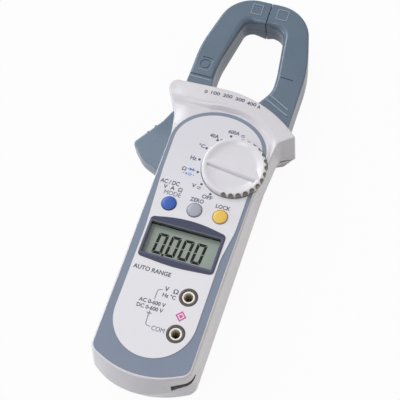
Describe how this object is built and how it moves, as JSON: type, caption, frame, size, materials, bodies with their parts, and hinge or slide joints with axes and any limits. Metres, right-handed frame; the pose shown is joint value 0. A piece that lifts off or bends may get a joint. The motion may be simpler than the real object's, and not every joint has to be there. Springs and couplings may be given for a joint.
{
  "type": "clamp meter",
  "caption": "Hand-held clamp meter with a spring-closed jaw on a trigger lever, a hand guard, a side-set rotary selector, push buttons, a display window and 4 mm test sockets.",
  "frame": {"origin": "on the back rest face, on the centre line of the case, about a third of the way up from its foot to the jaw tips", "axes": "+Z out of the front face, +Y along the case towards the jaws, +X to the right seen from the front"},
  "size_m": [0.0763, 0.2083, 0.0318],
  "materials": {
    "case_white": "fine matt moulded ABS, off white",
    "inlay_blue": "satin blue-grey inlay",
    "label_white": "satin printed white label",
    "bezel_slate": "satin dark slate",
    "window_clear": "clear polished acrylic",
    "cell_grey": "grey-green reflective display",
    "frame_white": "moulded",
    "strip_pink": "soft elastomer",
    "board_green": "solder resist",
    "chip_black": "moulded epoxy",
    "steel": "plated steel",
    "brass": "bright",
    "core_steel": "stacked laminations",
    "pad_grey": "silicone rubber",
    "button_blue": "satin blue",
    "button_grey": "satin grey",
    "button_yellow": "satin yellow",
    "knob_white": "fine matt cream white",
    "shroud_dark": "dark moulded",
    "liner_cream": "cream moulded",
    "jaw_blue": "fine matt blue-grey nylon",
    "cell_metal": "printed sleeve",
    "lead_red": "insulated wire"
  },
  "bodies": {
    "case": {"front_case": "case_white", "rear_case": "case_white", "face_inlay": "inlay_blue", "face_label": "label_white", "display_bezel": "bezel_slate", "display_window": "window_clear", "display_cell": "cell_grey", "display_frame": "frame_white", "contact_strip": "strip_pink", "main_board": "board_green", "board_chips": "chip_black", "buzzer": "chip_black", "board_screws": "steel", "keypad": "pad_grey", "jack_shrouds": "shroud_dark", "jack_liners": "liner_cream", "common_jack": "steel", "input_jack": "steel", "fixed_jaw_front": "jaw_blue", "fixed_jaw_rear": "jaw_blue", "fixed_core": "core_steel", "field_sensor": "chip_black", "sensor_lead": "lead_red", "pivot_pin": "steel", "return_spring": "steel", "battery_cell_1": "cell_metal", "battery_cell_2": "cell_metal", "battery_plates": "steel", "battery_springs": "steel", "battery_leads": "lead_red", "battery_cover": "case_white", "battery_cover_screw": "steel", "case_screws": "steel"},
    "jaw_lever": {"moving_jaw_front": "jaw_blue", "moving_jaw_rear": "jaw_blue", "moving_core": "core_steel", "lever_screws": "steel"},
    "selector": {"selector_knob": "knob_white", "selector_rotor": "knob_white", "rotor_contacts": "brass", "detent_ball": "steel", "detent_spring": "steel"},
    "blue_key": {"blue_button": "button_blue"},
    "grey_key": {"grey_button": "button_grey"},
    "yellow_key": {"yellow_button": "button_yellow"}
  },
  "joints": [
    {"name": "jaw_hinge", "type": "hinge", "parent": "case", "child": "jaw_lever", "pos_m": [-0.0253, 0.066, 0.0149], "axis": [0, 0, 1], "range_deg": [0, 22], "stiffness_Nm_per_rad": 0.5, "springref_deg": -17.19, "deforming": ["return_spring"]},
    {"name": "selector_turn", "type": "hinge", "parent": "case", "child": "selector", "pos_m": [0.0111, 0.0352, 0.029], "axis": [0, 0, 1], "range_deg": [-67.5, 67.5]},
    {"name": "blue_press", "type": "slide", "parent": "case", "child": "blue_key", "axis": [0, 0, -1], "range_m": [0, 0.0007], "stiffness_N_per_m": 400, "springref_m": -0.001, "deforming": ["keypad"]},
    {"name": "grey_press", "type": "slide", "parent": "case", "child": "grey_key", "axis": [0, 0, -1], "range_m": [0, 0.0007], "stiffness_N_per_m": 400, "springref_m": -0.001, "deforming": ["keypad"]},
    {"name": "yellow_press", "type": "slide", "parent": "case", "child": "yellow_key", "axis": [0, 0, -1], "range_m": [0, 0.0007], "stiffness_N_per_m": 400, "springref_m": -0.001, "deforming": ["keypad"]}
  ]
}
